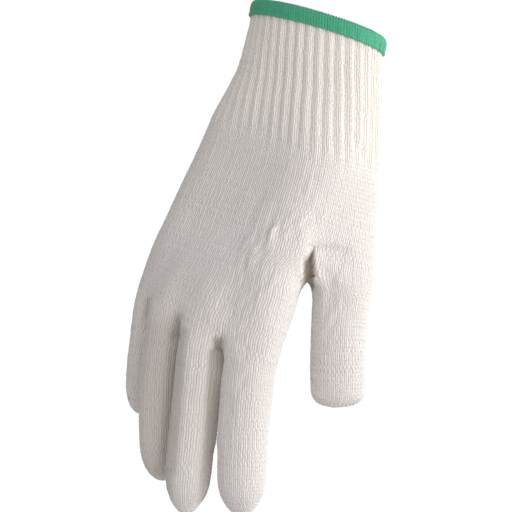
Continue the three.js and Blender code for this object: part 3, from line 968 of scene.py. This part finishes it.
def ribbed(points, faces, stitches, kinds):
    """The points of the cuff and palm moved onto the ribs."""
    normals = point_normals(points, faces)
    wale, course = stitch_of_points(len(points), faces, stitches).T
    has_ribs = np.zeros(len(points), bool)
    has_ribs[faces[kinds <= PARTS.index("palm")].ravel()] = True
    crest = np.cos(2 * math.pi * (wale - 0.5) * RIBS / GLOVE_WALES)
    profile = crest - RIB_FLATNESS * (crest**2 - 0.5)
    from_lowest = np.abs((wale - LOW_RIBS_AT + GLOVE_WALES / 2) % GLOVE_WALES - GLOVE_WALES / 2)
    low = LOW_RIBS * np.exp(-((from_lowest / LOW_RIBS_REACH) ** 2))
    height = RIB_HEIGHT / 2 * profile * rib_share(course) * has_ribs * (1 - low)
    return points + normals * height[:, None]


def boundary_edges(faces):
    """The edges that only one face has, each in that face's own direction."""
    pairs = sides_of(faces)
    keys = np.sort(pairs, axis=1)
    _, first, counts = np.unique(keys, axis=0, return_index=True, return_counts=True)
    return pairs[first[counts == 1]]


def shown(name, points, faces, stitches, material, sharp=None, dark=None):
    """A piece in metres, with only the points that its faces use."""
    corners = [len(f) for f in faces]
    used, flat = np.unique(np.concatenate([np.asarray(f) for f in faces]), return_inverse=True)
    at = np.concatenate([[0], np.cumsum(corners)])
    cells = [flat[a:b] for a, b in zip(at[:-1], at[1:])]
    mesh = new_mesh(name, points[used] * MM, [c.tolist() for c in cells], stitches)
    mesh.materials.append(material)
    mesh.shade_smooth()
    # the painted shade of the hollows, kept as an attribute of the points
    if dark is not None:
        layer = mesh.attributes.new("dark", "FLOAT", "POINT")
        layer.data.foreach_set("value", dark[used])
    if sharp is not None:
        keys = {tuple(sorted(pair)) for pair in np.searchsorted(used, sharp).tolist()}
        for edge in mesh.edges:
            if tuple(sorted(edge.vertices)) in keys:
                edge.use_edge_sharp = True
    return placed(name, mesh)


RIM_GAP = 0.4  # how far the insides of the cuff and the hand stay back from each other and the edge
RIM_COURSES = 0.5  # how much of a course a rim shows
SAME_COURSE = 0.01  # points whose courses are nearer than this lie on one round
LEAST_CLOTH = 0.5  # the least thickness that the inside of the hand may leave
INNER_ROUNDS = 20
INNER_STEP = 0.3  # how far a point that comes too near the outside is moved in each round
INNER_SPREAD = 0.6  # how far a point's neighbours are moved with it
INNER_EASE = 0.6


def cuff_piece(points, plain, outer, faces, stitches, kinds, material):
    """The ribbed cuff: its knitted outside, the inside with the same ribs, and the rims between."""
    faces, stitches = faces[kinds == 0], stitches[kinds == 0]
    normals = point_normals(points, faces)
    down = point_ways(points, faces, stitches, 1)
    inner = plain - normals * CLOTH
    wale, course = stitch_of_points(len(points), faces, stitches).T
    at_end = course > course.max() - SAME_COURSE
    inner[at_end] -= RIM_GAP * down[at_end] / np.linalg.norm(down[at_end], axis=1)[:, None]
    shift = len(points)
    rims = boundary_edges(faces)
    rim_faces = [(b, a, a + shift, b + shift) for a, b in rims]
    at = np.stack([wale, course], axis=1)
    further = (0, RIM_COURSES)
    rim_stitches = [(at[b], at[a], at[a] + further, at[b] + further) for a, b in rims]
    all_faces = list(faces) + list(faces[:, ::-1] + shift) + rim_faces
    all_stitches = list(stitches) + list(stitches[:, ::-1]) + rim_stitches
    both = np.concatenate([outer, inner])
    return shown("ribbed_cuff", both, all_faces, all_stitches, material, rims)


def crossing(tree, cells, other):
    """The cells of a surface that cut through another one, or through cells of its own that share no
    corner with them."""
    pairs = np.array(tree.overlap(other), int).reshape(-1, 2)
    if other is tree:
        near = (cells[pairs[:, 0]][:, :, None] == cells[pairs[:, 1]][:, None, :]).any(axis=(1, 2))
        pairs = pairs[~near]
    return np.unique(pairs[:, 0])


def inner_points(base, points, faces, cells):
    """The inner points of the cloth for the net's own points, which come first in the fine ones. They lie
    a cloth's thickness inside. Where they would cut the surface they are moved further in, and where they
    would fold over themselves they are smoothed."""
    count = len(base)
    inwards = -point_normals(base, cells)
    fine_normals = point_normals(points, faces)
    inner = points[:count] - fine_normals[:count] * CLOTH
    edges = edges_of(cells)
    thin = points - fine_normals * LEAST_CLOTH
    outer_tree = BVHTree.FromPolygons(thin.tolist(), faces.tolist())
    for _ in range(INNER_ROUNDS):
        tree = BVHTree.FromPolygons(inner.tolist(), cells.tolist())
        folding = crossing(tree, cells, tree)
        poking = crossing(tree, cells, outer_tree)
        if not len(folding) and not len(poking):
            break
        push, ease = np.zeros((count, 1)), np.zeros((count, 1))
        push[cells[poking].ravel()] = 1.0
        ease[cells[folding].ravel()] = 1.0
        push = np.maximum(push, INNER_SPREAD * mean_of_neighbours(push, edges))
        inner = inner + inwards * push * INNER_STEP
        inner = inner + INNER_EASE * ease * (mean_of_neighbours(inner, edges) - inner)
    return inner


def hand_piece(net, heel, inner, points, outer, faces, stitches, kinds, dark, material):
    """The knitted hand: its outside, a coarser inside, and the rim between them at the cuff."""
    faces, stitches = faces[kinds > 0], stitches[kinds > 0]
    hand = np.array([part != "cuff" for part in net.parts])
    cells, cell_stitches = np.array(net.cells)[hand], np.array(net.stitches, float)[hand]
    down = point_ways(inner, cells, cell_stitches, 1)[heel]
    inner[heel] += RIM_GAP * down / np.linalg.norm(down, axis=1)[:, None]
    shift = len(points)
    at = stitch_of_points(len(points), faces, stitches)
    edge = np.unique(boundary_edges(faces))
    edge = edge[np.argsort(at[edge, 0])]
    per_wale = len(edge) // len(heel)
    rim_faces, rim_stitches = [], []
    for k in range(len(heel)):
        near, far = heel[k] + shift, heel[(k + 1) % len(heel)] + shift
        run = [edge[(k * per_wale + j) % len(edge)] for j in range(per_wale + 1)]
        middle = per_wale // 2
        for j in range(per_wale):
            hub = near if j < middle else far
            rim_faces.append((run[j], run[j + 1], hub))
        rim_faces.append((run[middle], far, near))
    for face in rim_faces:
        rim_stitches.append([(0.0, 0.0)] * len(face))
    all_faces = list(faces) + list(cells[:, ::-1] + shift) + rim_faces
    all_stitches = list(stitches) + list(cell_stitches[:, ::-1]) + rim_stitches
    both = np.concatenate([outer, inner])
    # the inside gets no painted shade
    dark = np.concatenate([dark, np.zeros(len(inner))])
    rims = boundary_edges(faces)
    return shown("knit_hand", both, all_faces, all_stitches, material, rims, dark)


# The overlocked edge
EDGE_WRAPS = 150
COLUMNS_PER_WRAP = 4
WRAP_HEIGHT = 0.42
WRAP_UNEVEN = 0.18  # how much the wraps differ in height, as a share
EDGE_REACH = 7.0  # how far down the cuff's outline is taken for the edge
EDGE_INSIDE = 2.5  # how far down the cuff every ray meets it
# How the wraps sway along the edge: how far, how fast from wrap to wrap, and from where
WRAP_SWAYS = [(0.12, 1.7, 0), (0.1, 0.61, 1)]
SWAY_IN_FULL = 3  # how far down the edge the wraps sway in full
SHARE_AHEAD = 0.002  # the share of the way round on either side from which the edge's direction is taken
# The profile of the edge's channel: how far down, how far out from the cuff, how much of the wraps'
# relief stands out there, and how many wraps the thread has gone along by then
EDGE_PROFILE = [
    (6.0, 0.42, 0.0, 0.5),
    (6.3, 0.7, 0.4, 0.5),
    (6.25, 1.1, 0.8, 0.46),
    (5.9, 1.42, 1.0, 0.4),
    (5.4, 1.45, 1.0, 0.34),
    (4.9, 1.2, 1.0, 0.3),
    (4.3, 1.2, 1.0, 0.24),
    (3.2, 1.45, 1.0, 0.18),
    (1.8, 1.45, 1.0, 0.12),
    (0.6, 1.25, 1.0, 0.06),
    (-0.2, 0.85, 1.0, 0.03),
    (-0.65, 0.2, 1.0, 0.0),
    (-0.8, -0.9, 1.0, 0.0),
    (-0.65, -2.0, 1.0, 0.0),
    (-0.2, -2.65, 1.0, -0.03),
    (0.8, -3.05, 1.0, -0.06),
    (2.4, -3.2, 1.0, -0.15),
    (4.0, -3.2, 1.0, -0.25),
    (5.4, -3.15, 1.0, -0.35),
    (6.1, -2.9, 0.6, -0.4),
    (6.3, -2.5, 0.2, -0.4),
    (6.1, -2.22, 0.0, -0.4),
    (1.3, -2.2, 0.0, 0.0),
    (1.3, 0.4, 0.0, 0.0),
]


def edge_piece(tree, section, material):
    """The thread wrapped over the end of the cuff, as a channel with a ridge for each wrap."""
    count = EDGE_WRAPS * COLUMNS_PER_WRAP
    outlines = []
    for level in (0.0, EDGE_REACH):
        low = section.moved(max(level, EDGE_INSIDE))
        outlines.append(outline(tree, low, PALM_HARMONICS) - low.centre + section.moved(level).centre)
    top, bottom = outlines
    rows = []
    columns = np.arange(count)
    wrap = columns // COLUMNS_PER_WRAP
    turn = 2 * math.pi * columns / COLUMNS_PER_WRAP
    sway = sum(far * np.sin(wrap * rate + start) for far, rate, start in WRAP_SWAYS)
    size = 1 + WRAP_UNEVEN * stitch_noise(wrap, 0.0, "thread")
    for row, (level, out, relief, along) in enumerate(EDGE_PROFILE):
        shares = (columns / COLUMNS_PER_WRAP + along + sway * min(1, level / SWAY_IN_FULL)) / EDGE_WRAPS
        share = level / EDGE_REACH
        ring = on_outline(top, shares) * (1 - share) + on_outline(bottom, shares) * share
        ahead = on_outline(top, shares + SHARE_AHEAD) - on_outline(top, shares - SHARE_AHEAD)
        outwards = np.cross(section.down, ahead)
        outwards /= np.linalg.norm(outwards, axis=1)[:, None]
        if (outwards @ section.across)[0] > 0:
            outwards = -outwards
        stand = WRAP_HEIGHT * relief * size * (0.5 + 0.5 * np.cos(turn))
        before = np.array(EDGE_PROFILE[row - 1][:2])
        after = np.array(EDGE_PROFILE[(row + 1) % len(EDGE_PROFILE)][:2])
        run = (after - before) / np.linalg.norm(after - before)
        offset_out = out - run[0] * stand
        offset_down = run[1] * stand
        rows.append(ring + outwards * offset_out[:, None] + section.down * offset_down[:, None])
    points = np.concatenate(rows)
    faces, stitches = [], []
    total = len(EDGE_PROFILE)
    for r in range(total):
        n = (r + 1) % total
        for k in range(count):
            m = (k + 1) % count
            faces.append((r * count + k, n * count + k, n * count + m, r * count + m))
            w, x = k / COLUMNS_PER_WRAP, (k + 1) / COLUMNS_PER_WRAP
            stitches.append(((w, r), (w, r + 1), (x, r + 1), (x, r)))
    faces = np.array(faces)
    middle = points.mean(axis=0)
    a, b, c = points[faces[:, 0]], points[faces[:, 1]], points[faces[:, 2]]
    if (np.cross(b - a, c - a) * (a - middle)).sum() < 0:
        faces = faces[:, ::-1]
        stitches = [s[::-1] for s in stitches]
    return shown("overlock_thread", points, list(faces), stitches, material)


class Shader:
    """A short way to write a node material."""

    def __init__(self, name):
        self.material = bpy.data.materials.new(name)
        self.material.use_nodes = True
        self.tree = self.material.node_tree
        self.surface = self.tree.nodes["Principled BSDF"]

    def node(self, kind, **values):
        node = self.tree.nodes.new(kind)
        for key, value in values.items():
            setattr(node, key, value)
        return node

    def fill(self, node, values):
        """Numbers, colours and other nodes' sockets for a node's inputs."""
        for name, value in values.items():
            if isinstance(value, bpy.types.NodeSocket):
                self.tree.links.new(value, node.inputs[name])
            else:
                node.inputs[name].default_value = value

    def math(self, operation, a, b=0.0):
        node = self.node("ShaderNodeMath", operation=operation)
        self.fill(node, {0: a, 1: b})
        return node.outputs[0]

    def from_half(self, x):
        """How far a number from 0 to 1 is from a half, from 0 to 1."""
        return self.math("ABSOLUTE", self.math("SUBTRACT", self.math("MULTIPLY", x, 2.0), 1.0))

    def noise(self, scale, detail, roughness):
        node = self.node("ShaderNodeTexNoise")
        place = self.node("ShaderNodeTexCoord").outputs["Object"]
        self.fill(node, {"Scale": scale, "Detail": detail, "Roughness": roughness, "Vector": place})
        return node.outputs["Fac"]

    def mapped(self, value, low, high, to_low, to_high):
        node = self.node("ShaderNodeMapRange")
        ends = {"From Min": low, "From Max": high, "To Min": to_low, "To Max": to_high}
        self.fill(node, {"Value": value, **ends})
        return node.outputs[0]

    def mixed(self, factor, a, b, blend="MIX"):
        node = self.node("ShaderNodeMix", data_type="RGBA", blend_type=blend)
        self.fill(node, {0: factor, 6: a, 7: b})
        return node.outputs[2]

    def layered(self, base, layers):
        """A colour under layers of uneven colour."""
        for layer in layers:
            noise = self.noise(layer["scale"], layer["detail"], layer["roughness"])
            share = self.mapped(noise, layer["low"], layer["high"], 0.0, layer["most"])
            base = self.mixed(share, base, layer["colour"], layer["blend"])
        return base

    def bumped(self, height, distance, under=None):
        node = self.node("ShaderNodeBump")
        self.fill(node, {"Height": height, "Distance": distance})
        if under is not None:
            self.tree.links.new(under, node.inputs["Normal"])
        return node.outputs["Normal"]

    def finished(self, colour, normal, values):
        self.fill(self.surface, {"Base Color": colour, "Normal": normal, **values})
        return self.material


# The cotton's colours: on the crests of its yarn, and darker in the grooves between the legs as painted
# shade
KNIT_COLOUR = (0.805, 0.77, 0.745, 1.0)
KNIT_GROOVE_SHADE = (0.665, 0.62, 0.585, 1.0)
RIB_COLOUR = (0.92, 0.885, 0.84, 1.0)
RIB_GROOVE_SHADE = (0.76, 0.71, 0.655, 1.0)
RIB_COLOUR_FULL = RIBS_FULL - 2  # the course where the ribs' colours begin to turn into the knit's
RIB_COLOUR_GONE = RIBS_GONE + 4
# Painted shade in the hollows: the yarn's colour times this tint, where the painted shade is full
PAINTED_SHADE_TINT = (0.4, 0.36, 0.29)  # what the yarn's colour is multiplied by in the deepest hollows
PAINTED_SHADE_COLOUR = tuple(c * d for c, d in zip(KNIT_COLOUR, PAINTED_SHADE_TINT)) + (1.0,)

# Uneven colour, in layers: the noise's scale, detail and roughness, the range of it that counts, the
# layer's greatest share, its colour and how it is laid on
LAYER_COLUMNS = "scale detail roughness low high most colour blend"
COTTON_LAYERS = table(
    LAYER_COLUMNS,
    [
        (38.0, 3.0, 0.55, 0.35, 0.75, 0.55, (0.93, 0.93, 0.93, 1.0), "MULTIPLY"),
        (9.0, 2.0, 0.5, 0.4, 0.7, 0.5, (0.98, 0.955, 0.9, 1.0), "MULTIPLY"),
        (700.0, 3.0, 0.6, 0.5, 0.8, 0.35, (0.93, 0.91, 0.87, 1.0), "MIX"),
    ],
)
THREAD_LAYERS = table(
    LAYER_COLUMNS,
    [
        (1900.0, 4.0, 0.6, 0.35, 0.7, 1.0, (0.075, 0.46, 0.27, 1.0), "MIX"),
        (60.0, 2.0, 0.5, 0.4, 0.7, 0.4, (0.05, 0.36, 0.21, 1.0), "MIX"),
    ],
)
THREAD_COLOUR = (0.03, 0.29, 0.15, 1.0)
COTTON_FIBRES = (2600.0, 4.0, 0.7)  # the scale, detail and roughness of their noise
THREAD_FIBRES = (1900.0, 4.0, 0.6)
YARN_BUMP, COTTON_FIBRE_BUMP, THREAD_FIBRE_BUMP = 0.00035, 0.00012, 0.0001
YARN_CREST = 0.4  # how much of the yarn's roundness comes and goes from course to course
# where the yarn is less round than this, its colour is painted darker as shade
YARN_LIGHT = 0.8  # the roundness from which the yarn has the crests' colour
COTTON_SURFACE = {
    "Roughness": 0.92,
    "Specular IOR Level": 0.2,
    "Sheen Weight": 0.35,
    "Sheen Roughness": 0.55,
    "Sheen Tint": (1.0, 0.97, 0.92, 1.0),
}
THREAD_SURFACE = {
    "Roughness": 0.62,
    "Specular IOR Level": 0.35,
    "Sheen Weight": 0.25,
    "Sheen Roughness": 0.5,
}


def cotton_material(name):
    """Matt cotton yarn. Its relief follows the stitches: two legs of twisted yarn to each. Its colour has
    painted shade in the grooves between the legs and in the hollows.
    """
    shader = Shader(name)
    coordinates = shader.node("ShaderNodeUVMap", uv_map="stitch").outputs["UV"]
    separate = shader.node("ShaderNodeSeparateXYZ")
    shader.tree.links.new(coordinates, separate.inputs[0])
    wale, course = separate.outputs[0], separate.outputs[1]
    leg = shader.from_half(shader.from_half(shader.math("FRACT", wale)))
    round_leg = shader.math("SUBTRACT", 1.0, shader.math("POWER", leg, 2.0))
    crest = shader.math("COSINE", shader.math("MULTIPLY", course, 2 * math.pi))
    crest = shader.math("ADD", shader.math("MULTIPLY", crest, YARN_CREST / 2), 1 - YARN_CREST / 2)
    yarn = shader.math("MULTIPLY", round_leg, crest)
    in_ribs = shader.mapped(course, RIB_COLOUR_FULL, RIB_COLOUR_GONE, 1.0, 0.0)
    crest_colour = shader.mixed(in_ribs, KNIT_COLOUR, RIB_COLOUR)
    groove_shade_colour = shader.mixed(in_ribs, KNIT_GROOVE_SHADE, RIB_GROOVE_SHADE)
    # painted shade in the grooves: the less round the yarn, the nearer its colour is to the grooves' shade
    base = shader.mixed(shader.mapped(yarn, 0.0, YARN_LIGHT, 0.0, 1.0), groove_shade_colour, crest_colour)
    base = shader.layered(base, COTTON_LAYERS)
    # the hollows' painted shade, mixed into the yarn's colour
    dark = shader.node("ShaderNodeAttribute", attribute_name="dark").outputs["Fac"]
    base = shader.mixed(dark, base, PAINTED_SHADE_COLOUR)
    relief = shader.bumped(yarn, YARN_BUMP)
    fine = shader.bumped(shader.noise(*COTTON_FIBRES), COTTON_FIBRE_BUMP, relief)
    return shader.finished(base, fine, COTTON_SURFACE)


def thread_material():
    """Green polyester thread, a little shinier than the cotton."""
    shader = Shader("green_thread")
    base = shader.layered(THREAD_COLOUR, THREAD_LAYERS)
    fine = shader.bumped(shader.noise(*THREAD_FIBRES), THREAD_FIBRE_BUMP)
    return shader.finished(base, fine, THREAD_SURFACE)


# The studio: a pale floor, an even white world and three soft lights
FLOOR_COLOURS = (0.86, 0.86, 0.86, 1.0), (0.9, 0.9, 0.9, 1.0)
FLOOR_SPECKS = (12.0, 2.0, 0.5)
FLOOR_ROUGHNESS = 0.8
FLOOR_RADIUS = 2.0
FLOOR_SIDES = 64
FLOOR_HEIGHT = -0.5
WORLD_COLOUR = (0.97, 0.96, 1.0, 1.0)
WORLD_LIGHT = 0.46
BACKDROP_COLOUR = (1.0, 1.0, 1.0, 1.0)
BACKDROP_LIGHT = 1.03
# Each light's place from the glove's middle, as the camera sees it, its size, power and colour
LIGHTS = table(
    "name right towards up size power colour",
    [
        ("side", 1.1, -0.05, 0.15, 0.9, 7.5, (1.0, 0.985, 0.96)),
        ("key", 0.85, 0.8, 0.1, 0.9, 5.0, (1.0, 0.98, 0.96)),
        ("front", 0.1, 1.2, 0.4, 1.0, 4.6, (1.0, 0.96, 0.96)),
    ],
)


def add_camera():
    """The camera at the photo's angle to the glove."""
    data = bpy.data.cameras.new("camera")
    data.lens = LENS
    data.sensor_width = SENSOR
    camera = placed("camera", data)
    camera.location = AIM - AWAY * CAMERA_DISTANCE
    camera.rotation_euler = (math.radians(90), 0, AZIMUTH)
    bpy.context.scene.camera = camera


def add_lights():
    for row in LIGHTS:
        data = bpy.data.lights.new(row["name"], "AREA")
        data.size = row["size"]
        data.energy = row["power"]
        data.color = row["colour"]
        light = placed(row["name"], data)
        offset = RIGHT * row["right"] - AWAY * row["towards"] + UP * row["up"]
        light.location = AIM + offset
        light.rotation_euler = Vector(-offset).to_track_quat("-Z", "Y").to_euler()


def add_world():
    """Even white light all round. The camera sees the white backdrop brighter than it lights."""
    world = bpy.data.worlds.new("world")
    world.use_nodes = True
    tree = world.node_tree
    lighting = tree.nodes["Background"]
    backdrop = tree.nodes.new("ShaderNodeBackground")
    for node, colour, strength in (
        (lighting, WORLD_COLOUR, WORLD_LIGHT),
        (backdrop, BACKDROP_COLOUR, BACKDROP_LIGHT),
    ):
        node.inputs["Color"].default_value = colour
        node.inputs["Strength"].default_value = strength
    path = tree.nodes.new("ShaderNodeLightPath")
    mix = tree.nodes.new("ShaderNodeMixShader")
    tree.links.new(path.outputs["Is Camera Ray"], mix.inputs[0])
    tree.links.new(lighting.outputs[0], mix.inputs[1])
    tree.links.new(backdrop.outputs[0], mix.inputs[2])
    tree.links.new(mix.outputs[0], tree.nodes["World Output"].inputs["Surface"])
    bpy.context.scene.world = world


def add_floor():
    """A round pale floor well below the glove."""
    shader = Shader("floor")
    base = shader.mixed(shader.noise(*FLOOR_SPECKS), *FLOOR_COLOURS)
    shader.fill(shader.surface, {"Base Color": base, "Roughness": FLOOR_ROUGHNESS})
    mesh = bpy.data.meshes.new("floor")
    angles = np.arange(FLOOR_SIDES) * 2 * math.pi / FLOOR_SIDES
    rim = [(FLOOR_RADIUS * math.cos(a), FLOOR_RADIUS * math.sin(a), FLOOR_HEIGHT) for a in angles]
    mesh.from_pydata(rim, [], [list(range(FLOOR_SIDES))])
    mesh.materials.append(shader.material)
    placed("floor", mesh)


def dressed(piece, slot, *hidden):
    """A piece that rides on the one body and stands for CAD nodes."""
    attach(piece, "root")
    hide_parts(*hidden)


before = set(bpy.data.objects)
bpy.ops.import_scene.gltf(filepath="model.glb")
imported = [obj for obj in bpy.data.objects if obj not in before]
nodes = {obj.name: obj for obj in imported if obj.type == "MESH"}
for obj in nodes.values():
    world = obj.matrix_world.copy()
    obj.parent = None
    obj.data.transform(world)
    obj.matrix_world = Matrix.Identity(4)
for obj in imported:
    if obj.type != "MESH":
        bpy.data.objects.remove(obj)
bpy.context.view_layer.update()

# The net, divided, with its folds, hollows, ribs and stitches
net, marks = knit_net(nodes)
base = smoothed(np.array(net.points), net.cells, marks, marks["top"])
base = risen(base, marks["web"])
points, faces, stitches, kinds = divided(net, base)
normals = point_normals(points, faces)
# the hollows sink the points in and give them painted shade
points, dark = sunk(folded(points, normals), normals, parts_of_points(len(points), faces, kinds))
calm = CROTCH_CALM * nearness(points, points[marks["crotches"]], CROTCH_CALM_REACH)
calm = np.maximum(calm, nearness(points, points[net.seams], SEAM_REACH))
plain = ribbed(points, faces, stitches, kinds)
still = nearness(points, points[net.turns], TURN_REACH)
outer = knitted(plain, faces, stitches, calm, still)
inner = inner_points(base, points, faces, np.array(net.cells))

# The three pieces
rib, knit = cotton_material("cotton_rib"), cotton_material("cotton_knit")
cuff = cuff_piece(points, plain, outer, faces, stitches, kinds, rib)
dressed(cuff, "ribbing", "rib_cuff")
hand = hand_piece(net, marks["heel"], inner, points, outer, faces, stitches, kinds, dark, knit)
dressed(hand, "knit", *[n for n in nodes if n not in ("rib_cuff", "overlock_edge")])
wrist = Section(np.zeros(3), heading(*RING_FACES["wrist"]))
edge = edge_piece(tree_of(nodes["rib_cuff"]), wrist, thread_material())
dressed(edge, "edging", "overlock_edge")

add_camera()
add_world()
add_lights()
add_floor()
bpy.context.scene.view_settings.view_transform = "Standard"
